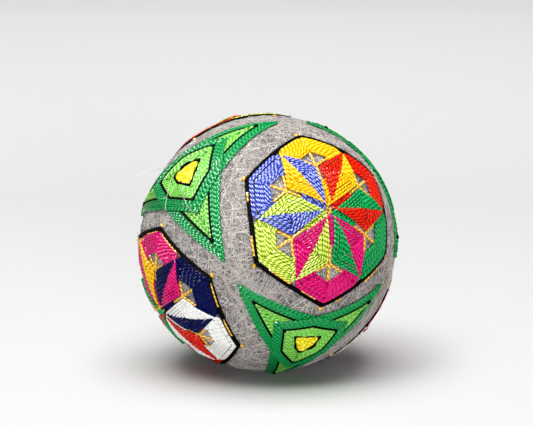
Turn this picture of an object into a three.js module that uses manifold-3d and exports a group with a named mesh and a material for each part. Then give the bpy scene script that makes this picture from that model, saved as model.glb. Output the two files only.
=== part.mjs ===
// Temari ball: a thread-wound ball with four six-ring medallions and four three-winged stars sewn on it.
// Millimetres, +Z up, origin in the middle of the resting spot. The front of the ball faces -Y.
// Each figure is drawn on the plane that touches the unit ball at the figure's own middle. A straight line there
// is a taut thread on the ball, and one unit of that plane is one ball radius.
import * as THREE from 'three';
import { mergeVertices } from 'three/addons/utils/BufferGeometryUtils.js';
import Module from 'manifold-3d';

const wasm = await Module();
wasm.setup();

// Wound ball
const BALL_R = 40;
const FOOT_DEPTH = 0.6;
const BALL_STEPS = 18;
const BALL_SIDES = 36;

// Heights of the stitching, as radii
const BASE_R = BALL_R + 0.56;
const FILL_R = BALL_R + 1.1;
const FRAME_R = BALL_R + 1.2;
const BAND_R = BALL_R + 1.35;
const KITE_R = BALL_R + 1.6;
const LOW_LACE = [BALL_R + 0.56, BALL_R + 0.84];
const LOW_LACE_ROOM = [BALL_R, BALL_R + 1.16];
const HIGH_LACE = [BALL_R + 1.22, BALL_R + 1.54];
const HIGH_LACE_ROOM = [BALL_R + 0.9, BALL_R + 3];
const PATH_RISE = 0.2;

// Room at the resting spot
const FOOT_ROOM_R = 10.7;
const FOOT_ROOM_TOP = 4;
const FLOOR_ROOM = 0.05;

// Points nearer than this are one point
const WELD = 1e-4;

// Plane units
const HALF_GAP = 0.0062;
const BEVEL = 0.012;
const MOST_LEAN = 0.3;
const FACET = 0.2;
const LACE_FACET = 0.1;

// Medallion
const FRAME_HALF = 0.03;
const RING_REACH = 0.94;
const RING_MIDDLE = 0.5;
const RING_GAP = 0.4;
const RING_NEAR = 0.045;
const RING_SHOULDER = 0.1;
const SHOULDER_TURN = 0.15;
const LACE_START = 0.7;
const LACE_END = 0.37;
const LACE_SIDE = 0.012;
const LACE_WIDTH = 0.038;
const LACE_ROOM = 0.011;

// Wing star, as shares of the tip's reach
const WING_TIP_IN = 0.73;
const WING_APEX_IN = 0.275;
const WING_APEX_OUT = 0.38;
const TIP_BLUNT = 0.985;
const HEART_SHARE = 0.42;

const THREAD_ROUGHNESS = 0.62;
const WOUND_ROUGHNESS = 0.85;

const COLOURS = {
  wound: 0xa39b97,
  black: 0x0b0b0c,
  lime: 0xc6e045,
  magenta: 0xcf1763,
  green: 0x11964a,
  red: 0xd41608,
  orange: 0xf25a22,
  yellow: 0xffcf10,
  blue: 0x4d58cf,
  navy: 0x0a1466,
  white: 0xf2f2f0,
  wing_green: 0x0a9a4c,
  leaf_green: 0x73c04f,
  heart_yellow: 0xf7de2e,
};

// Bearing runs from the front toward +X, lift from level upward, roll from level to the first corner or tip.
// Corners and tips are counted anticlockwise as seen from outside.
const MEDALLIONS = [
  {
    name: 'front', bearing: 30.4, lift: 24.9, roll: -158.3,
    rings: ['lime', 'magenta', 'green', 'red', 'yellow', 'blue'],
    reach: [0.846, 0.915, 0.837, 0.9, 0.84, 0.792],
    swing: [4.8, 1.4, 4.9, 4, 5.4, 4],
  },
  {
    name: 'left', bearing: -62.2, lift: -25.9, roll: 23,
    rings: ['navy', 'magenta', 'yellow', 'green', 'red', 'white'],
    reach: [0.858, 0.82, 0.84, 0.84, 0.84, 0.84],
    swing: [2.9, -1.5, 0.5, 0, 2, 5],
  },
  {
    name: 'under', bearing: 125.3, lift: -40.9, roll: 161.7,
    rings: ['magenta', 'white', 'blue', 'orange', 'lime', 'red'],
    reach: [0.84, 0.85, 0.84, 0.83, 0.84, 0.84],
    swing: [0, 1, 0, -1, 0, 1],
  },
  {
    name: 'crown', bearing: -157.5, lift: 43.8, roll: 98.6,
    rings: ['lime', 'green', 'magenta', 'white', 'navy', 'orange'],
    reach: [0.84, 0.84, 0.85, 0.84, 0.83, 0.84],
    swing: [0, -1, 1, 0, 1, 0],
  },
];

const STARS = [
  { name: 'upper', bearing: -53.3, lift: 40.2, roll: -40.7, reach: 1.12, swing: [0, -3.6, 5.5] },
  { name: 'lower', bearing: 21.1, lift: -37.9, roll: 143, reach: 0.98, swing: [0, 0, 0] },
  { name: 'right', bearing: 112.6, lift: 28.6, roll: 100.1, reach: 1.03, swing: [0, 0, 0] },
  { name: 'rear', bearing: -148.4, lift: -26.2, roll: -83.1, reach: 1.03, swing: [0, 0, 0] },
];

// Points and lines on the plane
function polar(reach, degrees) {
  const turn = THREE.MathUtils.degToRad(degrees);
  return new THREE.Vector2(reach * Math.cos(turn), reach * Math.sin(turn));
}

function between(a, b, share) {
  return a.clone().lerp(b, share);
}

function meet(a, b, c, d) {
  const along = b.clone().sub(a);
  const across = d.clone().sub(c);
  const share = c.clone().sub(a).cross(across) / along.cross(across);
  return a.clone().addScaledVector(along, share);
}

function scaled(points, factor) {
  return points.map((point) => point.clone().multiplyScalar(factor));
}

// Moves every side of an anticlockwise outline inward by the same amount, or outward when it is negative
function inset(points, amount) {
  const count = points.length;
  const sides = points.map((point, i) => {
    const next = points[(i + 1) % count];
    const along = next.clone().sub(point).normalize();
    const shift = new THREE.Vector2(-along.y, along.x).multiplyScalar(amount);
    return [point.clone().add(shift), next.clone().add(shift)];
  });
  return sides.map((side, i) => {
    const before = sides[(i + count - 1) % count];
    return meet(before[0], before[1], side[0], side[1]);
  });
}

function onBall(point, radius) {
  return new THREE.Vector3(point.x, point.y, 1).setLength(radius);
}

function welded(triangles) {
  const geometry = new THREE.BufferGeometry().setFromPoints(triangles.flat());
  return mergeVertices(geometry, WELD);
}

function stepsFor(facet, ...lengths) {
  return Math.max(1, Math.ceil(Math.max(...lengths) / facet));
}

// A piece of shell over an outline, from a low radius to a high one, its sides leaning in by a small amount
function patch(outline, { low, high, lean, facet }) {
  const bottom = { points: outline, radius: low };
  const top = { points: inset(outline, lean), radius: high };
  const count = outline.length;
  const faces = THREE.ShapeUtils.triangulateShape(outline, []);
  const spans = faces.flatMap(([a, b, c]) => [
    outline[a].distanceTo(outline[b]),
    outline[b].distanceTo(outline[c]),
    outline[c].distanceTo(outline[a]),
  ]);
  const steps = stepsFor(facet, ...spans);
  const triangles = [];

  const spot = (ring, [a, b, c], i, j) => {
    const first = between(ring.points[a], ring.points[b], i / steps);
    const move = ring.points[c].clone().sub(ring.points[a]).multiplyScalar(j / steps);
    return onBall(first.add(move), ring.radius);
  };
  for (const face of faces) {
    for (let i = 0; i < steps; i += 1) {
      for (let j = 0; j < steps - i; j += 1) {
        triangles.push([spot(top, face, i, j), spot(top, face, i + 1, j), spot(top, face, i, j + 1)]);
        triangles.push([spot(bottom, face, i, j), spot(bottom, face, i, j + 1), spot(bottom, face, i + 1, j)]);
        if (j < steps - i - 1) {
          const far = spot(top, face, i + 1, j + 1);
          const deep = spot(bottom, face, i + 1, j + 1);
          triangles.push([spot(top, face, i + 1, j), far, spot(top, face, i, j + 1)]);
          triangles.push([spot(bottom, face, i + 1, j), spot(bottom, face, i, j + 1), deep]);
        }
      }
    }
  }
  for (let i = 0; i < count; i += 1) {
    const next = (i + 1) % count;
    const edge = (ring, k) => onBall(between(ring.points[i], ring.points[next], k / steps), ring.radius);
    for (let step = 0; step < steps; step += 1) {
      const a = edge(bottom, step);
      const b = edge(bottom, step + 1);
      const c = edge(top, step + 1);
      const d = edge(top, step);
      triangles.push([a, b, c], [a, c, d]);
    }
  }
  return welded(triangles);
}

// A band of shell between two rails that run the same way, the left rail on the left as seen from outside
function ribbon(left, right, top, closed = false, base = BASE_R) {
  const stations = [];
  const spans = closed ? left.length : left.length - 1;
  for (let i = 0; i < spans; i += 1) {
    const next = (i + 1) % left.length;
    const steps = stepsFor(FACET, left[i].distanceTo(left[next]), right[i].distanceTo(right[next]));
    for (let step = 0; step < steps; step += 1) {
      stations.push([between(left[i], left[next], step / steps), between(right[i], right[next], step / steps)]);
    }
  }
  if (!closed) {
    stations.push([left[spans], right[spans]]);
  }
  const wide = stations.some(([l, r]) => l.distanceTo(r) > FACET);
  const sections = stations.map(([l, r]) => {
    const lean = Math.min(BEVEL / l.distanceTo(r), MOST_LEAN);
    const under = wide ? [onBall(between(l, r, 0.5), base)] : [];
    return [
      onBall(l, base),
      ...under,
      onBall(r, base),
      onBall(between(r, l, lean), top),
      onBall(between(l, r, lean), top),
    ];
  });
  const triangles = [];
  const last = sections.length - 1;
  for (let i = 0; i < sections.length - (closed ? 0 : 1); i += 1) {
    const here = sections[i];
    const there = sections[(i + 1) % sections.length];
    for (let k = 0; k < here.length; k += 1) {
      const n = (k + 1) % here.length;
      triangles.push([here[k], there[k], there[n]], [here[k], there[n], here[n]]);
    }
  }
  if (!closed) {
    const size = sections[0].length;
    for (let k = 0; k < size - 2; k += 1) {
      triangles.push([sections[0][size - 1], sections[0][k], sections[0][k + 1]]);
      triangles.push([sections[last][size - 1], sections[last][k + 1], sections[last][k]]);
    }
  }
  return welded(triangles);
}

// Joins and cuts
function toSolid(geometry) {
  return new wasm.Manifold(new wasm.Mesh({
    numProp: 3,
    vertProperties: Float32Array.from(geometry.getAttribute('position').array),
    triVerts: Uint32Array.from(geometry.getIndex().array),
  }));
}

function toGeometry(solid) {
  const mesh = solid.getMesh();
  const geometry = new THREE.BufferGeometry();
  geometry.setAttribute('position', new THREE.BufferAttribute(Float32Array.from(mesh.vertProperties), 3));
  geometry.setIndex(new THREE.BufferAttribute(Uint32Array.from(mesh.triVerts), 1));
  return geometry;
}

function joined(geometries) {
  return geometries.map(toSolid).reduce((whole, piece) => whole.add(piece));
}

// Cuts the room at the resting spot away and keeps the piece that is left on its near side
function cleared(solid, room) {
  const pieces = solid.subtract(room).decompose();
  const largest = pieces.reduce((best, piece) => (piece.volume() > best.volume() ? piece : best));
  return toGeometry(largest);
}

function sewn(name, colour, geometry) {
  geometry.computeVertexNormals();
  const material = new THREE.MeshStandardMaterial({
    color: COLOURS[colour],
    roughness: colour === 'wound' ? WOUND_ROUGHNESS : THREAD_ROUGHNESS,
    metalness: 0,
    flatShading: true,
  });
  const mesh = new THREE.Mesh(geometry, material);
  mesh.name = name;
  return mesh;
}

// The ball's profile runs from the middle of the resting spot round to the top
function woundBall() {
  const centre = BALL_R - FOOT_DEPTH;
  const start = Math.acos(centre / BALL_R);
  const profile = [new THREE.Vector2(0, 0)];
  for (let i = 0; i < BALL_STEPS; i += 1) {
    const turn = start + (Math.PI - start) * i / BALL_STEPS;
    profile.push(new THREE.Vector2(BALL_R * Math.sin(turn), centre - BALL_R * Math.cos(turn)));
  }
  profile.push(new THREE.Vector2(0, centre + BALL_R));
  const geometry = new THREE.LatheGeometry(profile, BALL_SIDES);
  geometry.rotateX(Math.PI / 2);
  geometry.deleteAttribute('normal');
  geometry.deleteAttribute('uv');
  return mergeVertices(geometry, WELD);
}

// A group whose +Z is the figure's own middle and whose +X runs toward its first corner or tip
function placed({ bearing, lift, roll }) {
  const group = new THREE.Group();
  const turn = THREE.MathUtils.degToRad(bearing);
  const rise = THREE.MathUtils.degToRad(lift);
  const spin = THREE.MathUtils.degToRad(roll);
  const east = new THREE.Vector3(Math.cos(turn), Math.sin(turn), 0);
  const out = new THREE.Vector3(Math.sin(turn) * Math.cos(rise), -Math.cos(turn) * Math.cos(rise), Math.sin(rise));
  const up = out.clone().cross(east);
  const first = east.multiplyScalar(Math.cos(spin)).addScaledVector(up, Math.sin(spin));
  const second = out.clone().cross(first);
  group.setRotationFromMatrix(new THREE.Matrix4().makeBasis(first, second, out));
  group.position.set(0, 0, BALL_R - FOOT_DEPTH);
  group.updateMatrix();
  return group;
}

// The room under and round the resting spot, where no stitching lies
function footRoom(group) {
  const floor = new THREE.BoxGeometry(4 * BALL_R, 4 * BALL_R, BALL_R);
  floor.translate(0, 0, FLOOR_ROOM - BALL_R / 2);
  const column = new THREE.CylinderGeometry(FOOT_ROOM_R, FOOT_ROOM_R, FOOT_ROOM_TOP, BALL_SIDES);
  column.rotateX(Math.PI / 2);
  const back = group.matrix.clone().invert();
  return joined([floor, column].map((geometry) => {
    geometry.applyMatrix4(back);
    geometry.deleteAttribute('normal');
    geometry.deleteAttribute('uv');
    return mergeVertices(geometry, WELD);
  }));
}

function crowned(high) {
  return { low: BASE_R, high, lean: BEVEL, facet: FACET };
}

function flat([low, high]) {
  return { low, high, lean: 0, facet: LACE_FACET };
}

// The strip where one ring crosses its neighbour, along the ring's outer edge
function lace(from, tip, to, side, room) {
  const a = between(tip, from, LACE_START);
  const b = between(tip, to, LACE_END);
  const along = b.clone().sub(a).normalize();
  const across = new THREE.Vector2(-along.y, along.x).multiplyScalar(side);
  const near = LACE_SIDE - room;
  const far = LACE_SIDE + LACE_WIDTH + room;
  const corners = [
    a.clone().addScaledVector(across, near),
    b.clone().addScaledVector(across, near),
    b.clone().addScaledVector(across, far),
    a.clone().addScaledVector(across, far),
  ];
  return side > 0 ? corners : corners.reverse();
}

// Six hexagon rings round one middle. Each crosses over the next one and under the one before.
function medallion({ name, rings, reach, swing, ...place }) {
  const group = placed(place);
  const room = footRoom(group);
  const count = rings.length;
  const at = (list, i) => list[(i + count) % count];
  const corners = rings.map((_, i) => polar(reach[i], 360 * i / count + swing[i]));
  const tips = scaled(corners, RING_REACH);
  const middles = scaled(tips, RING_MIDDLE);
  const nears = scaled(tips, RING_NEAR);
  const halves = tips.map((tip, i) => between(tip, at(tips, i + 1), 0.5));
  const kites = tips.map((tip, i) => {
    const ahead = between(halves[i], tip, RING_SHOULDER);
    const behind = between(halves[i], at(tips, i + 1), RING_SHOULDER);
    const here = middles[i];
    const there = at(middles, i + 1);
    return {
      ahead,
      behind,
      here,
      there,
      outer: meet(ahead, there, behind, here),
      inner: meet(there, nears[i], here, at(nears, i + 1)),
    };
  });

  const frame = ribbon(inset(corners, FRAME_HALF), inset(corners, -FRAME_HALF), FRAME_R, true);
  group.add(sewn(`${name}_frame`, 'black', cleared(toSolid(frame), room)));

  rings.forEach((colour, i) => {
    const next = kites[i];
    const last = at(kites, i - 1);
    const gapAhead = between(middles[i], next.outer, RING_GAP);
    const gapBehind = between(middles[i], last.outer, RING_GAP);
    const gapTip = between(middles[i], tips[i], RING_GAP);
    const outside = [last.outer, last.behind, tips[i], next.ahead, next.outer];
    const inside = [
      gapBehind,
      between(gapBehind, gapTip, SHOULDER_TURN),
      gapTip,
      between(gapAhead, gapTip, SHOULDER_TURN),
      gapAhead,
    ];
    const band = inset([...outside, ...inside.reverse()], HALF_GAP);
    const rails = [band.slice(outside.length).reverse(), band.slice(0, outside.length)];
    const over = lace(next.ahead, next.outer, next.there, 1, 0);
    const under = lace(last.behind, last.outer, last.here, -1, 0);
    const overRoom = lace(next.behind, next.outer, next.here, -1, LACE_ROOM);
    const underRoom = lace(last.ahead, last.outer, last.there, 1, LACE_ROOM);
    const ring = joined([
      ribbon(rails[0], rails[1], BAND_R),
      patch(inset([next.inner, next.outer, next.there], HALF_GAP), crowned(KITE_R)),
      patch(inset([last.inner, last.here, last.outer], HALF_GAP), crowned(KITE_R)),
      patch(over, flat(HIGH_LACE)),
      patch(under, flat(LOW_LACE)),
    ]);
    const laced = ring
      .subtract(toSolid(patch(overRoom, flat(LOW_LACE_ROOM))))
      .subtract(toSolid(patch(underRoom, flat(HIGH_LACE_ROOM))));
    group.add(sewn(`${name}_ring_${colour}`, colour, cleared(laced, room)));
  });
  return group;
}

// Three V paths, each joining two tips round the far side of the middle
function wingStar({ name, reach, swing, ...place }) {
  const group = placed(place);
  const room = footRoom(group);
  const turns = swing.map((more, i) => 360 * i / swing.length + more);
  const at = (list, i) => list[(i + turns.length) % turns.length];
  const ray = (share) => turns.map((turn) => polar(reach * share, turn));
  const tipOut = ray(TIP_BLUNT);
  const tipIn = ray(WING_TIP_IN);
  const apexIn = ray(WING_APEX_IN);
  const apexOut = ray(WING_APEX_OUT);

  const paths = turns.map((_, i) => {
    const inner = [at(tipIn, i - 1), apexIn[i], at(tipIn, i + 1)];
    const outer = [at(tipOut, i - 1), apexOut[i], at(tipOut, i + 1)];
    const rise = i * PATH_RISE;
    return ribbon(inner, outer, FILL_R + rise, false, BASE_R + rise / 2);
  });
  group.add(sewn(`${name}_star`, 'wing_green', cleared(joined(paths), room)));

  turns.forEach((_, i) => {
    const high = meet(tipIn[i], at(apexIn, i + 1), apexOut[i], at(tipOut, i + 1));
    const low = meet(tipIn[i], at(apexIn, i - 1), apexOut[i], at(tipOut, i - 1));
    const fill = patch(inset([apexOut[i], low, tipIn[i], high], 2 * HALF_GAP), crowned(FILL_R));
    group.add(sewn(`${name}_wing_${i + 1}`, 'leaf_green', cleared(toSolid(fill), room)));
  });

  const hexagon = turns.flatMap((_, i) => [
    apexIn[i],
    meet(apexIn[i], at(tipIn, i + 1), at(apexIn, i + 1), tipIn[i]),
  ]);
  const heart = scaled(hexagon, HEART_SHARE);
  const band = ribbon(heart, inset(hexagon, 2 * HALF_GAP), FILL_R, true);
  group.add(sewn(`${name}_hexagon`, 'leaf_green', band));
  group.add(sewn(`${name}_heart`, 'heart_yellow', patch(inset(heart, 2 * HALF_GAP), crowned(FILL_R))));
  return group;
}

const temari = new THREE.Group();
temari.add(sewn('ball', 'wound', woundBall()));
MEDALLIONS.forEach((row) => temari.add(medallion(row)));
STARS.forEach((row) => temari.add(wingStar(row)));

export default temari;
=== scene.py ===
import math

import bpy
import numpy as np
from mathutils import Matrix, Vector


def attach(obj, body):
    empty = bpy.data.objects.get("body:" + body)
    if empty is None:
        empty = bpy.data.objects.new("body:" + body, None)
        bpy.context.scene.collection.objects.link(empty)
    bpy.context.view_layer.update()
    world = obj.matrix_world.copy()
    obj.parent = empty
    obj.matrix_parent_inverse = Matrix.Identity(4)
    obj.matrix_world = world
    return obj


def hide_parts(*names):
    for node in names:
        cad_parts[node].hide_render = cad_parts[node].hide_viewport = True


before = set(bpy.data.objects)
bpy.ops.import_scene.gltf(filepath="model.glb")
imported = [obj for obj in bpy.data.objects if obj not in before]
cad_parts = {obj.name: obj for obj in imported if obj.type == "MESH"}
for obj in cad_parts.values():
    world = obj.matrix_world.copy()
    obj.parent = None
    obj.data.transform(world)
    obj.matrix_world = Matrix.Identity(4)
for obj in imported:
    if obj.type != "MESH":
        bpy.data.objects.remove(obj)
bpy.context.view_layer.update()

# Ball, in millimetres. The threads are laid out in millimetres from the ball's middle.
MM = 0.001
BALL_R = 40.0
FOOT_DEPTH = 0.6
CENTRE = np.array((0.0, 0.0, BALL_R - FOOT_DEPTH))
FLOOR_LIFT = 0.02
CORE_SINK = 0.12
CORE_RINGS = 48
CORE_SIDES = 96

# Camera: almost flat view from a metre away, a little above the ball, in millimetres and degrees
CAMERA_BACK = 1000.0
CAMERA_RISE = 12.0
CAMERA_LENS = 214.5
CAMERA_SENSOR = 36.0
CAMERA_REACH = 10000.0
AIM_RIGHT = -0.4
AIM_UP = 9.5

# Sheet in metres, with the grey of its near and far part and where the one turns into the other. The far
# part is painted paler to make up for the lamps' light falling off there.
SHEET_CORNERS = ((-2, -2, 0), (2, -2, 0), (2, 3, 0), (-2, 3, 0))
PAPER_NEAR = (0.52, 0.52, 0.52, 1)
PAPER_FAR = (0.79, 0.79, 0.79, 1)
PAPER_TURN = 0.27
PAPER_RATE = 1.9

# Square lamps in metres and watts. The glint lamp shows in the shine of the threads alone.
ROOM_LIGHT = 0.08
BALL_MIDDLE = (0, 0, 0.04)
LAMPS = (
    {"name": "key", "place": (-0.42, -0.4, 1.1), "aim": BALL_MIDDLE, "size": 0.5, "power": 4},
    {"name": "glint", "place": (-0.8, -0.6, 0.9), "aim": BALL_MIDDLE, "size": 0.25, "power": 150,
     "diffuse": False},
    {"name": "top", "place": (-0.05, -0.12, 1.3), "aim": (-0.05, -0.12, 0), "size": 1.2, "power": 31},
    {"name": "fill", "place": (0.2, -1.25, 0.18), "aim": BALL_MIDDLE, "size": 0.3, "power": 9},
)

# Threads: half width and half height in millimetres
PEARL = (0.42, 0.38)
FLOSS = (0.31, 0.31)
OUTLINE = (0.46, 0.4)
BLACK = (0.36, 0.36)
GOLD = (0.46, 0.3)
PALE = (0.16, 0.14)
HAIR = (0.055, 0.055)
STRAND = (0.13, 0.104)
FIBRE = (0.07, 0.06)
STRAY = (0.09, 0.09)
SIDES = 6
THIN_SIDES = 3

# How a run of thread lies, in millimetres: its stations, its dive into the winding at both ends,
# and its climb over other threads
STATION = 0.8
LEAST_STATIONS = 5
FINE_STEP = 0.2
LEAST_STEPS = 6
DIVE = 0.35
DIVE_DEPTH = 0.2
DEEP = 0.6
TAUT = 0.5
LAYER = 0.62
SIDE_LIFT = 0.05

# Rows of a band: how many rows a climb takes, and how far a band reaches past its edges and ends
RISE_ROWS = 1.2
EDGE_ROWS = 0.6
END_SHARE = 0.01

# Twist of the plies in millimetres, and how strongly their ridges show, with painted shade between the
# plies and at a thread's sides and a painted highlight on the crests
PLY_PITCH = 3.0
PLY_STARTS = 9
PLY_RELIEF = 0.2
PLY_SHARE = 1.3
TINT_SHARE = 0.2
HIGHLIGHT_POWER = 4.0
SIDE_SHADE_RATE = 2.4
THREAD_IOR = 1.3

# Plane units: a figure is drawn on the plane that touches the ball in the figure's middle,
# with the ball's radius as the unit
OVERSHOOT = 0.004
BOW = 0.002

# Map of where a figure covers the winding, in plane units
MAP_HALF = 1.25
MAP_STEP = 0.004
MAP_FACING = 0.35
COVER_SHARE = 0.9
COVER_LINES = 5

# Medallion rings, as in the solid
RING_REACH = 0.94
RING_MIDDLE = 0.5
RING_NEAR = 0.045
RING_SHOULDER = 0.1
RING_SHORT = 0.07
RING_CORNERS = 6
RING_ROWS = 9
RING_INNER = 0.45
RING_OUTER = 0.985
RING_LIFT = 0.2
ROW_WANDER = 0.003
ROW_PART = 0.045
PARTED_ROWS = 2
FRAME_SIDE = (5, 0, 1)
RING_JITTER = 0.0013

# Medallion marks: gold lines from the middle, and crosses with a pale thread beside them
MARK_START = 0.02
MARK_END = 0.95
MARK_LIFT = -0.25
CROSS_ARM = 0.18
CROSS_TAIL = 0.1
CROSS_TURNS = (0, 60, 180, 300)
CROSS_LIFT = 0.05
PALE_ASIDE = 0.014
PALE_START = 0.2
PALE_END = 1.5
PALE_LIFT = 0.1

# Medallion frame, with the least and the most of the start and end of a gold dash
FRAME_ROWS = (-0.015, 0.001, 0.017)
FRAME_JITTER = 0.003
FRAME_OVER = (0.004, 0.016)
FRAME_BOW = 0.004
DASHES = 2
DASH_LEAST = (0.0, 0.45)
DASH_MOST = (0.4, 1.0)
DASH_BOW = 0.003
DASH_LIFT = 0.2

# Tack stitches outside the frame's corners, with turns in degrees
TACK_AT = 1.055
TACK_HALF = 0.02
TACK_TURNS = (15, 75)
TACK_JITTER = 0.008
TACK_SWING = 20

# Hairs on the frame: reach and curl in plane units, base and rise in millimetres
HAIR_STEPS = 5
HAIR_REACH = (0.03, 0.075)
HAIR_CURL = 0.012
HAIR_BASE = 0.5
HAIR_RISE = (-0.3, 0.9)

# Wing star rows from the middle outward: colour, rows, first and last tip, first and last apex,
# as shares of the star's reach
STAR_BANDS = (
    ("black", 1, 0.27, 0.27, 0.128, 0.128),
    ("leaf_green", 7, 0.33, 0.65, 0.147, 0.251),
    ("black", 1, 0.705, 0.705, 0.271, 0.271),
    ("wing_green", 6, 0.755, 0.99, 0.291, 0.382),
)
STAR_PARTS = {"black": "lines", "leaf_green": "fill", "wing_green": "star"}
STAR_PATHS = 3
STAR_LIFT = 0.1
STAR_JITTER = 0.0015
HEART_ROWS = (0.1, 0.082, 0.064, 0.045, 0.026, 0.01)
HEART_WAIST = 0.9
HEART_JITTER = 0.003

# Winding: strands that run round the ball, the deeper ones darker with painted shade
STRANDS = 760
STRAND_STEPS = 108
STRAND_WAVE = 0.007
STRAND_WAVES = (9, 20)
STRAND_PHASES = 6
STRAND_LEAN = 0.05
STRAND_SINK = 0.02
STRAND_SPREAD = 0.18
STRAND_PALE = 0.76
STRAND_SHADE = 0.6
STRAND_SCATTER = 0.42
LEAST_RUN = 2

# Loose fibres. Their paleness is drawn from a beta spread with the two numbers of FUZZ_PALE.
FUZZ = 3000
FUZZ_STEPS = 7
FUZZ_REACH = (0.05, 0.16)
FUZZ_CURL = 4.0
FUZZ_BASE = 0.05
FUZZ_LIFT = (0.02, 0.35)
FUZZ_PALE = (2, 0.7)

# Stray threads at the upper left, in millimetres right and up from the ball's middle
STRAY_STEPS = 20
STRAY_LIFT = 1.6
STRAYS = (
    ((-32.6, 23.4), (-36.0, 22.9), (-39.0, 22.0), (-41.6, 21.0)),
    ((-29.5, 20.2), (-30.3, 17.9), (-31.1, 13.9), (-31.5, 9.9)),
    ((-26.8, 17.2), (-25.9, 14.5), (-24.5, 11.4), (-22.0, 9.4)),
    ((-36.0, 21.0), (-38.1, 15.9), (-39.4, 11.3), (-39.9, 7.8)),
)

COLOURS = {
    "black": (0.015, 0.015, 0.017),
    "lime": (0.7, 0.84, 0.16),
    "magenta": (0.86, 0.0, 0.42),
    "green": (0.0, 0.55, 0.24),
    "red": (0.82, 0.02, 0.0),
    "orange": (0.96, 0.28, 0.04),
    "yellow": (1.0, 0.71, 0.0),
    "blue": (0.16, 0.2, 0.74),
    "navy": (0.0, 0.02, 0.24),
    "white": (0.98, 0.98, 0.97),
    "wing_green": (0.0, 0.54, 0.24),
    "leaf_green": (0.47, 0.8, 0.31),
    "heart_yellow": (1.0, 0.90, 0.06),
    "gold": (0.93, 0.66, 0.06),
    "pale": (0.95, 0.83, 0.82),
}

# Painted highlight colours of the shinier threads, painted along the crest of each ply
PAINTED_HIGHLIGHTS = {
    "lime": (0.94, 1.0, 0.52),
    "magenta": (0.9, 0.14, 0.5),
    "green": (0.1, 0.7, 0.4),
    "red": (0.98, 0.2, 0.06),
    "yellow": (1.0, 0.86, 0.12),
    "blue": (0.64, 0.7, 0.98),
    "navy": (0.02, 0.07, 0.36),
    "wing_green": (0.06, 0.66, 0.36),
    "leaf_green": (0.58, 0.88, 0.4),
    "heart_yellow": (1.0, 0.97, 0.32),
    "gold": (1.0, 0.84, 0.36),
}

# Where a thread differs from the usual look: how dark its painted shade is, where the painted shade at its
# sides starts, its shine and its roughness
LOOKS = {
    "black": {"painted_shade": 0.4, "shine": 0.05, "roughness": 0.6},
    "lime": {"painted_shade": 0.3, "side_shade_edge": 0.25, "shine": 0.35},
    "blue": {"painted_shade": 0.3, "side_shade_edge": 0.25, "shine": 0.35},
    "navy": {"shine": 0.1},
    "white": {"painted_shade": 0.86, "roughness": 0.4},
    "wing_green": {"painted_shade": 0.72, "side_shade_edge": -0.4, "shine": 0.55},
    "leaf_green": {"painted_shade": 0.72, "side_shade_edge": -0.4, "shine": 0.55},
    "gold": {"shine": 0.8},
}

# Darkest and palest grey of the strands and of the core under them
STRAND_GREYS = ((0.1, 0.09, 0.085), (0.88, 0.85, 0.83))
STRAND_TINT = 0.8
STRAND_MOTTLE = 0.25
CORE_GREYS = ((0.22, 0.205, 0.2), (0.42, 0.4, 0.39))

# Colour slots of the pieces that aren't rings, and the pieces that stand for no solid
SLOTS = {
    "gold": "gold",
    "pale": "white",
    "lines": "black",
    "frame": "black",
    "fill": "leaf_green",
    "star": "wing_green",
    "heart": "heart_yellow",
}
ADDED = ("gold", "pale", "lines")

MEDALLIONS = (
    {
        "name": "front", "bearing": 30.4, "lift": 24.9, "roll": -158.3,
        "rings": ("lime", "magenta", "green", "red", "yellow", "blue"),
        "reach": (0.846, 0.915, 0.837, 0.9, 0.84, 0.792),
        "swing": (4.8, 1.4, 4.9, 4, 5.4, 4),
        "gold": (-0.03, 0.033, -0.03, None, -0.03, 0.009), "hairs": 160,
    },
    {
        "name": "left", "bearing": -62.2, "lift": -25.9, "roll": 23,
        "rings": ("navy", "magenta", "yellow", "green", "red", "white"),
        "reach": (0.858, 0.82, 0.84, 0.84, 0.84, 0.84),
        "swing": (2.9, -1.5, 0.5, 0, 2, 5),
        "gold": (-0.03, -0.03, -0.03, None, -0.03, 0.009), "hairs": 420,
    },
    {
        "name": "under", "bearing": 125.3, "lift": -40.9, "roll": 161.7,
        "rings": ("magenta", "white", "blue", "orange", "lime", "red"),
        "reach": (0.84, 0.85, 0.84, 0.83, 0.84, 0.84),
        "swing": (0, 1, 0, -1, 0, 1),
        "gold": (-0.03, None, -0.03, 0.009, -0.03, 0.033), "hairs": 200,
    },
    {
        "name": "crown", "bearing": -157.5, "lift": 43.8, "roll": 98.6,
        "rings": ("lime", "green", "magenta", "white", "navy", "orange"),
        "reach": (0.84, 0.84, 0.85, 0.84, 0.83, 0.84),
        "swing": (0, -1, 1, 0, 1, 0),
        "gold": (-0.03, -0.03, 0.009, -0.03, None, -0.03), "hairs": 200,
    },
)

# Order: which of a star's three paths is sewn first, second and last
STARS = (
    {
        "name": "upper", "bearing": -53.3, "lift": 40.2, "roll": -40.7,
        "reach": 1.12, "swing": (0, -3.6, 5.5), "order": (2, 1, 0),
    },
    {
        "name": "lower", "bearing": 21.1, "lift": -37.9, "roll": 143,
        "reach": 0.98, "swing": (0, 0, 0), "order": (1, 2, 0),
    },
    {
        "name": "right", "bearing": 112.6, "lift": 28.6, "roll": 100.1,
        "reach": 1.03, "swing": (0, 0, 0), "order": (0, 1, 2),
    },
    {
        "name": "rear", "bearing": -148.4, "lift": -26.2, "roll": -83.1,
        "reach": 1.03, "swing": (0, 0, 0), "order": (0, 1, 2),
    },
)

random = np.random.default_rng(seed=7)
bundles = {}
figures = []


# Plane and space
def unit(v):
    return v / np.linalg.norm(v, axis=-1, keepdims=True)


def polar(reach, degrees):
    turn = math.radians(degrees)
    return np.array((reach * math.cos(turn), reach * math.sin(turn)))


def meet(a, b, c, d):
    along, across = b - a, d - c
    cross = along[0] * across[1] - along[1] * across[0]
    share = ((c - a)[0] * across[1] - (c - a)[1] * across[0]) / cross
    return a + along * share


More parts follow.
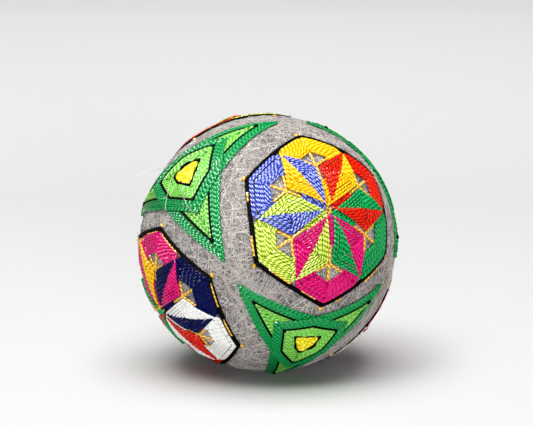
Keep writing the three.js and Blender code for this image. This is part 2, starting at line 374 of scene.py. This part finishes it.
def inset(points, amount):
    """Moves every side of an anticlockwise outline inward."""
    nexts = np.roll(points, -1, 0)
    along = unit(nexts - points)
    shift = np.stack((-along[:, 1], along[:, 0]), 1) * amount
    starts, ends = points + shift, nexts + shift
    return np.array([meet(starts[i - 1], ends[i - 1], starts[i], ends[i]) for i in range(len(points))])


def view_axes():
    """Right, up and back as the camera sees them."""
    rise = math.radians(CAMERA_RISE)
    return np.array(((1, 0, 0), (0, math.sin(rise), math.cos(rise)), (0, -math.cos(rise), math.sin(rise))))


# Laying of threads
class Figure:
    """One sewn figure: its place on the ball and the part of the winding that it covers."""

    def __init__(self, bearing, lift, roll):
        turn, rise, spin = np.radians((bearing, lift, roll))
        east = np.array((math.cos(turn), math.sin(turn), 0))
        out = np.array((math.sin(turn) * math.cos(rise), -math.cos(turn) * math.cos(rise), math.sin(rise)))
        up = np.cross(out, east)
        first = east * math.cos(spin) + up * math.sin(spin)
        self.axes = np.stack((first, np.cross(out, first), out))
        self.count = int(2 * MAP_HALF / MAP_STEP) + 1
        self.sewn = np.zeros((self.count, self.count), bool)

    def direction(self, points):
        flat = np.concatenate((points, np.ones((len(points), 1))), 1)
        return unit(flat @ self.axes)

    def cells(self, points):
        at = np.rint((points + MAP_HALF) / MAP_STEP).astype(int)
        return tuple(np.clip(at, 0, self.count - 1).T)

    def covered(self, directions):
        """Where these directions from the ball's middle run into a sewn thread."""
        local = directions @ self.axes.T
        found = np.flatnonzero(local[:, 2] > MAP_FACING)
        points = local[found, :2] / local[found, 2:]
        inside = np.abs(points).max(1) < MAP_HALF
        hidden = np.zeros(len(directions), bool)
        hidden[found[inside]] = self.sewn[self.cells(points[inside])]
        return hidden

    def lay(self, a, b, thread, lift=0.0, layer=None, bow=0.0, dive=DIVE_DEPTH):
        """One taut run of thread from a to b. Layer gives the share of a thread that it climbs."""
        wide, tall = thread
        ends = self.direction(np.array((a, b)))
        length = BALL_R * math.acos(min(1, ends[0] @ ends[1]))
        steps = max(LEAST_STEPS, int(length / FINE_STEP))
        share = np.linspace(0, 1, steps + 1)
        along = unit(b - a)
        across = np.array((-along[1], along[0]))
        line = a + np.outer(share, b - a) + np.outer(np.sin(np.pi * share) * bow, across)
        unit_width = wide * (1 + (line ** 2).sum(1, keepdims=True)) / BALL_R
        for side in np.linspace(-COVER_SHARE, COVER_SHARE, COVER_LINES):
            self.sewn[self.cells(line + across * side * unit_width)] = True
        height = np.full(steps + 1, tall + lift)
        if layer is not None:
            reach = max(1, round(TAUT * steps / length))
            height = height + LAYER * smoothed(layer(line), reach)
        near = np.minimum(share, 1 - share) * length
        height = height - dive * np.clip(1 - near / DIVE, 0, 1) ** 2
        stations = max(LEAST_STATIONS, round(length / STATION)) + 1
        keep = np.unique(np.rint(np.linspace(0, steps, stations)).astype(int))
        out = self.direction(line[keep])
        return out * (BALL_R + height[keep])[:, None], out


def smoothed(values, reach):
    """A taut thread's rise and fall: it stays up past an edge and comes down gently."""
    for pick in (np.max, np.mean):
        padded = np.pad(values, reach, mode="edge")
        values = pick(np.lib.stride_tricks.sliding_window_view(padded, 2 * reach + 1), 1)
    return values


def row_at(points, starts, ends):
    """The row of a band that runs through each point, with its fraction, and nan where the band isn't."""
    along = ends - starts
    length = np.linalg.norm(along, axis=1)
    gap = points[:, None] - starts
    away = (along[:, 0] * gap[..., 1] - along[:, 1] * gap[..., 0]) / length
    share = (gap * along).sum(-1) / length ** 2
    if away[0, 0] < away[0, -1]:
        away = -away
    last = len(starts) - 1
    low = np.clip((away > 0).sum(1) - 1, 0, last - 1)
    pick = np.arange(len(points))
    row = low + away[pick, low] / (away[pick, low] - away[pick, low + 1])
    at = share[pick, np.clip(np.rint(row).astype(int), 0, last)]
    inside = (row > -EDGE_ROWS) & (row < last + EDGE_ROWS) & (at > -END_SHARE) & (at < 1 + END_SHARE)
    return np.where(inside, row, np.nan)


def above(own, other):
    """How far a thread of row own lies over a thread of another row."""
    share = np.clip((own - other) / RISE_ROWS + 0.5, 0, 1)
    return np.nan_to_num(share * share * (3 - 2 * share))


# Thread meshes
def placed(name, data):
    """A new object in the scene."""
    made = bpy.data.objects.new(name, data)
    bpy.context.scene.collection.objects.link(made)
    return made


class Bundle:
    """Tubes of thread that are joined into one mesh."""

    def __init__(self):
        self.points, self.faces, self.uvs, self.tints = [], [], [], []
        self.total = 0

    def tube(self, line, out, thread, sides=SIDES, tint=None):
        """Adds one thread. Its map runs in millimetres along it and from 0 to 1 round it."""
        wide, tall = thread
        count = len(line)
        way = unit(np.gradient(line, axis=0))
        side = unit(np.cross(way, out))
        top = np.cross(side, way)
        turns = 2 * np.pi * np.arange(sides) / sides
        across = side[:, None] * (wide * np.cos(turns))[None, :, None]
        upward = top[:, None] * (tall * np.sin(turns))[None, :, None]
        points = (line[:, None] + (across + upward)).reshape(-1, 3) + CENTRE
        points[:, 2] = np.maximum(points[:, 2], FLOOR_LIFT)
        run = np.concatenate(((0,), np.cumsum(np.linalg.norm(np.diff(line, axis=0), axis=1))))
        run = run + random.uniform(0, PLY_STARTS)
        i, k = np.meshgrid(np.arange(count - 1), np.arange(sides), indexing="ij")
        here, ahead = i * sides, (i + 1) * sides
        beside = (k + 1) % sides
        quads = np.stack((here + k, here + beside, ahead + beside, ahead + k), -1).reshape(-1, 4)
        u = np.stack((run[i], run[i], run[i + 1], run[i + 1]), -1).reshape(-1, 4)
        v = np.stack((k, k + 1, k + 1, k), -1).reshape(-1, 4) / sides
        start = np.arange(sides)[::-1]
        end = (count - 1) * sides + np.arange(sides)
        self.points.append(points)
        self.faces.append((quads + self.total, start + self.total, end + self.total))
        self.uvs.append((np.stack((u, v), -1).reshape(-1, 2), sides))
        self.tints.append(np.full(len(points), random.uniform(0, 1) if tint is None else tint))
        self.total += len(points)

    def mesh(self, name, material):
        loops, sizes, uvs = [], [], []
        for (quads, start, end), (uv, sides) in zip(self.faces, self.uvs):
            loops += [quads.ravel(), start, end]
            sizes.append(np.concatenate((np.full(len(quads), 4), (sides, sides))))
            uvs += [uv, np.zeros((2 * sides, 2))]
        loops, sizes = np.concatenate(loops), np.concatenate(sizes)
        firsts = np.concatenate(((0,), np.cumsum(sizes)[:-1]))
        points = np.concatenate(self.points) * MM
        mesh = bpy.data.meshes.new(name)
        mesh.vertices.add(len(points))
        mesh.vertices.foreach_set("co", points.astype(np.float32).ravel())
        mesh.loops.add(len(loops))
        mesh.loops.foreach_set("vertex_index", loops.astype(np.int32))
        mesh.polygons.add(len(sizes))
        mesh.polygons.foreach_set("loop_start", firsts.astype(np.int32))
        mesh.polygons.foreach_set("use_smooth", np.ones(len(sizes), bool))
        layer = mesh.uv_layers.new(name="UVMap")
        layer.data.foreach_set("uv", np.concatenate(uvs).astype(np.float32).ravel())
        tint = mesh.attributes.new("tint", "FLOAT", "POINT")
        tint.data.foreach_set("value", np.concatenate(self.tints).astype(np.float32))
        mesh.update(calc_edges=True)
        mesh.validate()
        mesh.materials.append(material)
        piece = placed(name, mesh)
        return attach(piece, "root")


def bundle(name):
    return bundles.setdefault(name, Bundle())


# Materials
def linear(colour):
    """The light of a screen colour, by the usual sRGB curve."""
    return tuple(c / 12.92 if c <= 0.04045 else ((c + 0.055) / 1.055) ** 2.4 for c in colour) + (1.0,)


class Shader:
    """A small helper to build one material's nodes."""

    def __init__(self, name):
        self.material = bpy.data.materials.new(name)
        self.material.use_nodes = True
        self.tree = self.material.node_tree
        self.surface = self.tree.nodes["Principled BSDF"]

    def node(self, kind, *values, **inputs):
        made = self.tree.nodes.new(kind)
        for key, value in (*enumerate(values), *inputs.items()):
            self.feed(made, key, value)
        return made

    def feed(self, node, key, value):
        if isinstance(value, bpy.types.NodeSocket):
            self.tree.links.new(value, node.inputs[key])
        else:
            node.inputs[key].default_value = value

    def math(self, operation, a, b=0.0):
        made = self.node("ShaderNodeMath", a, b)
        made.operation = operation
        return made.outputs[0]

    def clamped(self, value, start, rate):
        """How far a value has gone past a start, times the rate and kept from 0 to 1."""
        share = self.math("MULTIPLY", self.math("SUBTRACT", value, start), rate)
        share.node.use_clamp = True
        return share

    def weighed(self, a, a_weight, b, b_weight):
        return self.math("ADD", self.math("MULTIPLY", a, a_weight), self.math("MULTIPLY", b, b_weight))

    def blend(self, share, a, b):
        """A mix of two colours. Sockets 6, 7 and 2 are the colour ones of a node that mixes many kinds."""
        made = self.tree.nodes.new("ShaderNodeMix")
        made.data_type = "RGBA"
        self.feed(made, 0, share)
        self.feed(made, 6, a)
        self.feed(made, 7, b)
        return made.outputs[2]

    def tint(self):
        """The number that each thread was given."""
        made = self.node("ShaderNodeAttribute")
        made.attribute_name = "tint"
        return made.outputs["Fac"]

    def bump(self, height, strength, relief):
        made = self.node("ShaderNodeBump", Strength=strength, Distance=relief * MM, Height=height)
        self.feed(self.surface, "Normal", made.outputs[0])

    def finished(self, colour, roughness, shine=0.5):
        self.feed(self.surface, "Base Color", colour)
        self.feed(self.surface, "Roughness", roughness)
        self.feed(self.surface, "Specular IOR Level", shine)
        return self.material


def thread_material(name, colour, glint, painted_shade=0.58, side_shade_edge=0.05, shine=0.24, roughness=0.24):
    """Two-ply twisted thread: its plies show as slanting ridges, with painted shade in the grooves between
    plies and at its sides and a painted highlight along their crests.
    """
    shader = Shader(name)
    uv = shader.node("ShaderNodeUVMap")
    uv.uv_map = "UVMap"
    parts = shader.node("ShaderNodeSeparateXYZ", uv.outputs[0])
    run = shader.math("MULTIPLY", parts.outputs[0], 2 * math.pi / PLY_PITCH)
    around = shader.math("MULTIPLY", parts.outputs[1], 2 * math.pi)
    ply = shader.math("ABSOLUTE", shader.math("SINE", shader.math("SUBTRACT", run, around)))
    # Painted shade: a thread's sides, where it meets the next row, take its darker colour
    crown = shader.clamped(shader.math("SINE", around), side_shade_edge, SIDE_SHADE_RATE)
    ridges = shader.weighed(ply, PLY_SHARE, shader.tint(), TINT_SHARE)
    pale = linear(colour)
    # The colour in painted shade, for the grooves between plies and a thread's sides
    deep = tuple(c * painted_shade for c in pale[:3]) + (1.0,)
    body = shader.blend(shader.math("MULTIPLY", ridges, crown), deep, pale)
    # Painted highlight: the crest of each ply takes the glint colour
    if glint:
        painted_highlight_mask = shader.math("MULTIPLY", shader.math("POWER", ply, HIGHLIGHT_POWER), crown)
        body = shader.blend(painted_highlight_mask, body, linear(glint))
    shader.bump(ply, strength=1.0, relief=PLY_RELIEF)
    shader.feed(shader.surface, "IOR", THREAD_IOR)
    return shader.finished(body, roughness, shine)


def strand_material(name):
    """Thin wound thread, each strand paler or darker than the next, at random and by painted shade on the
    deeper strands.
    """
    shader = Shader(name)
    noise = shader.node("ShaderNodeTexNoise", Scale=260.0, Detail=3.0)
    share = shader.weighed(shader.tint(), STRAND_TINT, noise.outputs[0], STRAND_MOTTLE)
    colour = shader.blend(share, *map(linear, STRAND_GREYS))
    return shader.finished(colour, roughness=0.5, shine=0.08)


def core_material(name):
    """Mottled wool under the strands."""
    shader = Shader(name)
    where = shader.node("ShaderNodeTexCoord").outputs["Object"]
    noise = shader.node("ShaderNodeTexNoise", Vector=where, Scale=420.0, Detail=4.0)
    shader.bump(noise.outputs[0], strength=0.6, relief=0.3)
    colour = shader.blend(noise.outputs[0], *map(linear, CORE_GREYS))
    return shader.finished(colour, roughness=0.85)


def paper_material(name):
    """Plain sheet without shine, painted paler far behind the ball as painted light where the lamps' light
    falls off.
    """
    shader = Shader(name)
    place = shader.node("ShaderNodeNewGeometry").outputs["Position"]
    parts = shader.node("ShaderNodeSeparateXYZ", place)
    # Painted light: the sheet is paler far behind, where the lamps light it less
    behind = shader.clamped(parts.outputs[1], PAPER_TURN, PAPER_RATE)
    return shader.finished(shader.blend(behind, PAPER_NEAR, PAPER_FAR), roughness=0.9, shine=0.0)


# Sewn figures
def sew(name, figure, a, b, thread, over=OVERSHOOT, bow=BOW, **how):
    """Sews one run from a to b, a little longer at both ends."""
    extra = unit(b - a) * over
    line, out = figure.lay(a - extra, b + extra, thread, bow=random.uniform(-bow, bow), **how)
    bundle(name).tube(line, out, thread)


def medallion(name, rings, reach, swing, gold, hairs, **place):
    """Six laced rings in a black frame, sewn over their marks."""
    figure = Figure(**place)
    figures.append(figure)
    count = len(rings)
    turns = [360 * i / count + swing[i] for i in range(count)]
    corners = np.array([polar(*corner) for corner in zip(reach, turns)])
    tips = corners * RING_REACH
    sew_marks(name, figure, tips, turns)
    sew_rings(name, figure, tips, rings)
    sew_frame(name, figure, corners)
    sew_dashes(name, figure, corners, gold)
    sew_tacks(name, figure, corners)
    add_hairs(name, figure, corners, hairs)


def sew_marks(name, figure, tips, turns):
    """Gold marking lines, and crosses with a pale thread beside them."""
    gold, pale = f"{name}_gold", f"{name}_pale"
    for tip, tip_turn in zip(tips, turns):
        middle = tip * RING_MIDDLE
        sew(gold, figure, tip * MARK_START, tip * MARK_END, GOLD, lift=MARK_LIFT)
        for turn in CROSS_TURNS:
            arm = polar(CROSS_ARM, turn + tip_turn)
            sew(gold, figure, middle - arm * CROSS_TAIL, middle + arm, GOLD, lift=CROSS_LIFT, dive=DEEP)
        aside = np.array((-tip[1], tip[0])) * PALE_ASIDE
        start, end = middle * PALE_START + aside, middle * PALE_END + aside
        sew(pale, figure, start, end, PALE, lift=PALE_LIFT, dive=DEEP)


def ring_loops(tips):
    """The corners of every row of every ring, from the inside outward. The last rows part at the frame."""
    count = len(tips)
    side = list(FRAME_SIDE)
    middles = tips * RING_MIDDLE
    halves = (tips + np.roll(tips, -1, 0)) / 2
    loops = np.zeros((count, RING_ROWS, RING_CORNERS, 2))
    for i in range(count):
        shares = np.linspace(RING_INNER, RING_OUTER, RING_ROWS) + random.normal(0, ROW_WANDER, RING_ROWS)
        before, after = (i - 1) % count, (i + 1) % count
        outline = np.array((
            tips[i],
            halves[i] + (tips[i] - halves[i]) * RING_SHOULDER,
            middles[after] + (middles[i] - middles[after]) * RING_SHORT,
            tips[i] * RING_NEAR,
            middles[before] + (middles[i] - middles[before]) * RING_SHORT,
            halves[before] + (tips[i] - halves[before]) * RING_SHOULDER,
        ))
        loops[i] = middles[i] + (outline - middles[i]) * shares[:, None, None]
        outward = (outline[side] - middles[i]) * random.uniform(0, ROW_PART)
        loops[i, -PARTED_ROWS:, side] += outward[:, None]
    return loops


def sew_rings(name, figure, tips, rings):
    """Rows of each colour, laced with the rings on both sides."""
    count = len(rings)
    loops = ring_loops(tips)

    def lacing(own, row):
        def layer(points):
            total = np.zeros(len(points))
            for other in ((own - 1) % count, (own + 1) % count):
                starts = loops[other]
                ends = np.roll(starts, -1, 1)
                for side in range(RING_CORNERS):
                    found = row_at(points, starts[:, side], ends[:, side])
                    total = np.maximum(total, above(row, found))
            return total
        return layer

    for i, colour in enumerate(rings):
        for row in range(RING_ROWS):
            loop = loops[i, row] + random.normal(0, RING_JITTER, (RING_CORNERS, 2))
            for side, (a, b) in enumerate(zip(loop, np.roll(loop, -1, 0))):
                lift = RING_LIFT + SIDE_LIFT * (side % 2)
                sew(f"{name}_ring_{colour}", figure, a, b, PEARL, lift=lift, layer=lacing(i, row))


def sew_frame(name, figure, corners):
    """Black rows round the rings, each side a little longer than from corner to corner."""
    for offset in FRAME_ROWS:
        outline = inset(corners, -offset) + random.normal(0, FRAME_JITTER, corners.shape)
        for side, (a, b) in enumerate(zip(outline, np.roll(outline, -1, 0))):
            over = random.uniform(*FRAME_OVER)
            lift = SIDE_LIFT * (side % 2)
            sew(f"{name}_frame", figure, a, b, BLACK, over=over, bow=FRAME_BOW, lift=lift, dive=DEEP)


def sew_dashes(name, figure, corners, gold):
    """Gold that shows in dashes beside or between the rows of the frame."""
    for side, offset in enumerate(gold):
        if offset is None:
            continue
        outline = inset(corners, -offset)
        start = outline[side]
        along = outline[(side + 1) % len(outline)] - start
        for dash in range(DASHES):
            first, last = (dash + random.uniform(DASH_LEAST, DASH_MOST)) / DASHES
            sew(f"{name}_gold", figure, start + along * first, start + along * last, GOLD,
                bow=DASH_BOW, lift=DASH_LIFT, dive=DEEP)


def sew_tacks(name, figure, corners):
    """Crossed tack stitches outside the corners."""
    for corner in corners:
        at = corner * TACK_AT + random.normal(0, TACK_JITTER, 2)
        facing = math.degrees(math.atan2(corner[1], corner[0]))
        for turn in TACK_TURNS:
            arm = polar(TACK_HALF, turn + random.normal(0, TACK_SWING) + facing)
            sew(f"{name}_gold", figure, at - arm, at + arm, GOLD, dive=DEEP)


def add_hairs(name, figure, corners, hairs):
    """Hairs that stand off the frame."""
    share = np.linspace(0, 1, HAIR_STEPS)
    for _ in range(hairs):
        side = random.integers(len(corners))
        start, end = corners[side], corners[(side + 1) % len(corners)]
        at = start + (end - start) * random.uniform(0, 1)
        arm = polar(random.uniform(*HAIR_REACH), random.uniform(0, 360))
        curl = random.normal(0, HAIR_CURL, 2)
        out = figure.direction(at + np.outer(share, arm) + np.outer(share ** 2, curl))
        height = BALL_R + HAIR_BASE + np.linspace(0, random.uniform(*HAIR_RISE), HAIR_STEPS)
        bundle(f"{name}_frame").tube(out * height[:, None], out, HAIR, THIN_SIDES)


def star(name, reach, swing, order, **place):
    """A three-winged star round a yellow hexagon."""
    figure = Figure(**place)
    figures.append(figure)
    turns = np.arange(STAR_PATHS) * 360 / STAR_PATHS + swing
    sew_heart(name, figure, reach, turns)
    sew_paths(name, figure, reach, turns, order)


def sew_heart(name, figure, reach, turns):
    """Rows of the hexagon in a star's middle."""
    between = (turns + np.array((*turns[1:], turns[0] + 360))) / 2
    corners = np.stack((turns, between), 1).ravel()
    for share in HEART_ROWS:
        reaches = [reach * share * (HEART_WAIST if k % 2 else 1) for k in range(len(corners))]
        loop = np.array([polar(*corner) for corner in zip(reaches, corners)])
        loop = loop + random.normal(0, HEART_JITTER, loop.shape)
        for a, b in zip(loop, np.roll(loop, -1, 0)):
            sew(f"{name}_heart", figure, a, b, PEARL, lift=STAR_LIFT)


def sew_paths(name, figure, reach, turns, order):
    """The rows of three V paths. The inner rows are laced, and each outer band is sewn in its turn."""
    rows = [(colour, tip, apex) for colour, count, *ends in STAR_BANDS
            for tip, apex in zip(np.linspace(*ends[:2], count), np.linspace(*ends[2:], count))]
    outer = len(rows) - STAR_BANDS[-1][1]
    paths = range(STAR_PATHS)
    legs = [(k, (k + step) % STAR_PATHS) for k in paths for step in paths[1:]]
    starts = [np.array([polar(reach * tip, turns[other]) for _, tip, _ in rows]) for _, other in legs]
    ends = [np.array([polar(reach * apex, turns[k]) for _, _, apex in rows]) for k, _ in legs]

    def rank(row, k):
        """Inner rows rank by their number, and outer ones by when their path is sewn."""
        return np.where(row > outer - 0.5, len(rows) * (2 + order.index(k)), row)

    def lacing(k, row):
        def layer(points):
            total = np.zeros(len(points))
            for against, (other, _) in enumerate(legs):
                if other != k:
                    found = row_at(points, starts[against], ends[against])
                    met = np.where(np.isnan(found), np.nan, rank(found, other))
                    total = np.maximum(total, above(rank(row, k), met))
            return total
        return layer

    for leg, (k, _) in enumerate(legs):
        for row, (colour, _, _) in enumerate(rows):
            a = starts[leg][row] + random.normal(0, STAR_JITTER, 2)
            b = ends[leg][row] + random.normal(0, STAR_JITTER, 2)
            thread = OUTLINE if colour == "black" else FLOSS
            lift = STAR_LIFT + SIDE_LIFT * (leg % 2)
            sew(f"{name}_{STAR_PARTS[colour]}", figure, a, b, thread, lift=lift, layer=lacing(k, row))


def add_pieces():
    """Finished threads as pieces, each with its colour slot and the solids that it stands for."""
    materials = {name: thread_material(name, colour, PAINTED_HIGHLIGHTS.get(name), **LOOKS.get(name, {}))
                 for name, colour in COLOURS.items()}
    for name, threads in bundles.items():
        figure, part = name.split("_", 1)
        colour = SLOTS.get(part, part.removeprefix("ring_"))
        look = "pale" if part == "pale" else colour
        piece = threads.mesh(name + "_threads", materials[look])
        if part == "fill":
            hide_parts(*[f"{figure}_wing_{i}" for i in (1, 2, 3)], f"{figure}_hexagon")
        elif part not in ADDED:
            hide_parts(name)


# Winding: thin strands in every direction, kept where no figure covers them
def bare(directions):
    hidden = np.zeros(len(directions), bool)
    for figure in figures:
        hidden |= figure.covered(directions)
    return ~hidden


def strand(threads, first, second, radius, lean, tint):
    """One turn of thread round the ball, in as many runs as are bare."""
    turn = np.linspace(0, 2 * np.pi, STRAND_STEPS + 1)
    circle = np.outer(np.cos(turn), first) + np.outer(np.sin(turn), second)
    wave = STRAND_WAVE * np.sin(random.integers(*STRAND_WAVES) * turn + random.uniform(0, STRAND_PHASES))
    circle = unit(circle + (lean + wave)[:, None] * np.cross(first, second))
    shown = bare(circle)
    shown = shown | np.roll(shown, 1) | np.roll(shown, -1)
    edges = np.flatnonzero(np.diff(np.concatenate(((False,), shown, (False,))).astype(int)))
    for start, stop in zip(edges[::2], edges[1::2]):
        if stop - start > LEAST_RUN:
            out = circle[start:stop]
            threads.tube(out * radius, out, STRAND, THIN_SIDES, tint)


def add_winding(strands):
    winding = [Bundle(), Bundle()]
    for i in range(STRANDS):
        pole = unit(random.normal(size=3))
        first = unit(np.cross(pole, random.normal(size=3)))
        second = np.cross(pole, first)
        deep = random.uniform(0, 1)
        # Painted shade: the deeper a strand lies, the darker it is; the scatter is random tone
        pale = min(1, max(0, STRAND_PALE - STRAND_SHADE * deep + random.normal(0, STRAND_SCATTER)))
        radius = BALL_R - STRAND_SINK - STRAND_SPREAD * deep
        strand(winding[i % 2], first, second, radius, random.normal(0, STRAND_LEAN), pale)
    for label, threads in zip("ab", winding):
        threads.mesh(f"winding_{label}", strands)


def add_fibres(strands):
    """Loose fibres on the winding."""
    fuzz = Bundle()
    share = np.linspace(0, 1, FUZZ_STEPS)
    while fuzz.total < FUZZ * FUZZ_STEPS * THIN_SIDES:
        pole = unit(random.normal(size=3))
        way = unit(np.cross(pole, random.normal(size=3)))
        run = share * random.uniform(*FUZZ_REACH)
        curl = run * run * random.normal(0, FUZZ_CURL)
        out = unit(pole + np.outer(run, way) + np.outer(curl, np.cross(pole, way)))
        if bare(out).all():
            lift = random.uniform(*FUZZ_LIFT) * np.sin(np.pi * share)
            line = out * (BALL_R + FUZZ_BASE + lift)[:, None]
            fuzz.tube(line, out, FIBRE, THIN_SIDES, random.beta(*FUZZ_PALE))
    fuzz.mesh("fibres", strands)


def add_strays(strands):
    """Stray threads, given as the camera sees them: right and up from the ball's middle."""
    strays = Bundle()
    share = np.linspace(0, 1, STRAY_STEPS)
    for places in STRAYS:
        curve = np.polyfit(np.linspace(0, 1, len(places)), np.array(places), len(places) - 1)
        flat = np.stack([np.polyval(curve[:, axis], share) for axis in (0, 1)], 1)
        depth = np.sqrt(np.maximum(0, (BALL_R + STRAY_LIFT) ** 2 - (flat ** 2).sum(1)))
        line = np.column_stack((flat, depth)) @ view_axes()
        strays.tube(line, unit(line), STRAY, THIN_SIDES, tint=1.0)
    strays.mesh("stray_threads", strands)


# Core under the strands, flat at the resting spot
def core_points():
    """Rings from the resting spot upward, then the top and the middle of the spot."""
    foot_turn = math.acos((BALL_R - FOOT_DEPTH) / BALL_R)
    turns = np.linspace(foot_turn, math.pi, CORE_RINGS + 1)[:-1]
    around = np.linspace(0, 2 * math.pi, CORE_SIDES + 1)[:-1]
    radius = (BALL_R - CORE_SINK) * np.sin(turns)
    height = -(BALL_R - CORE_SINK) * np.cos(turns)
    right = np.outer(radius, np.cos(around))
    back = np.outer(radius, np.sin(around))
    up = np.outer(height, np.ones(CORE_SIDES))
    rings = np.stack((right, back, up), -1).reshape(-1, 3) + CENTRE
    top = (0, 0, 2 * BALL_R - FOOT_DEPTH - CORE_SINK)
    return np.concatenate((rings, (top, (0, 0, rings[0, 2]))))


def core_faces():
    """Quads between the rings, then fans to the top and to the middle of the resting spot."""
    sides = [(k, (k + 1) % CORE_SIDES) for k in range(CORE_SIDES)]
    last = (CORE_RINGS - 1) * CORE_SIDES
    top = last + CORE_SIDES
    faces = [(low + k, low + n, low + CORE_SIDES + n, low + CORE_SIDES + k)
             for low in range(0, last, CORE_SIDES) for k, n in sides]
    faces += [(last + k, last + n, top) for k, n in sides]
    faces += [(n, k, top + 1) for k, n in sides]
    return faces


def add_core():
    core = bpy.data.meshes.new("core")
    core.from_pydata((core_points() * MM).tolist(), [], core_faces())
    core.polygons.foreach_set("use_smooth", np.ones(len(core.polygons), bool))
    core.materials.append(core_material("wound"))
    ball = placed("ball_core", core)
    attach(ball, "root")
    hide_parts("ball")


# Stage, lights and camera
def add_stage():
    sheet = bpy.data.meshes.new("sheet")
    sheet.from_pydata(SHEET_CORNERS, [], [(0, 1, 2, 3)])
    sheet.materials.append(paper_material("paper"))
    stage = placed("sheet", sheet)


def turned(place, aim):
    """The turn of a lamp or camera that looks from a place to an aim."""
    return (Vector(aim) - Vector(place)).to_track_quat("-Z", "Y").to_euler()


def add_lamp(name, place, aim, size, power, diffuse=True):
    data = bpy.data.lights.new(name, "AREA")
    data.energy = power
    data.size = size
    lamp = placed(name, data)
    lamp.location = place
    lamp.rotation_euler = turned(place, aim)
    lamp.visible_diffuse = diffuse


def add_room():
    world = bpy.data.worlds.new("room")
    world.use_nodes = True
    background = world.node_tree.nodes["Background"]
    background.inputs["Color"].default_value = (1, 1, 1, 1)
    background.inputs["Strength"].default_value = ROOM_LIGHT
    bpy.context.scene.world = world
    bpy.context.scene.view_settings.view_transform = "Standard"


def add_camera():
    right, upward, back = map(Vector, view_axes())
    centre = Vector(CENTRE) * MM
    data = bpy.data.cameras.new("camera")
    data.lens = CAMERA_LENS
    data.sensor_width = CAMERA_SENSOR
    data.clip_end = CAMERA_REACH * MM
    camera = placed("camera", data)
    camera.location = centre + back * CAMERA_BACK * MM
    aim = centre + right * AIM_RIGHT * MM + upward * AIM_UP * MM
    camera.rotation_euler = turned(camera.location, aim)
    bpy.context.scene.camera = camera


for row in MEDALLIONS:
    medallion(**row)
for row in STARS:
    star(**row)
add_pieces()
strands = strand_material("strands")
add_winding(strands)
add_fibres(strands)
add_strays(strands)
add_core()
add_stage()
for lamp in LAMPS:
    add_lamp(**lamp)
add_room()
add_camera()
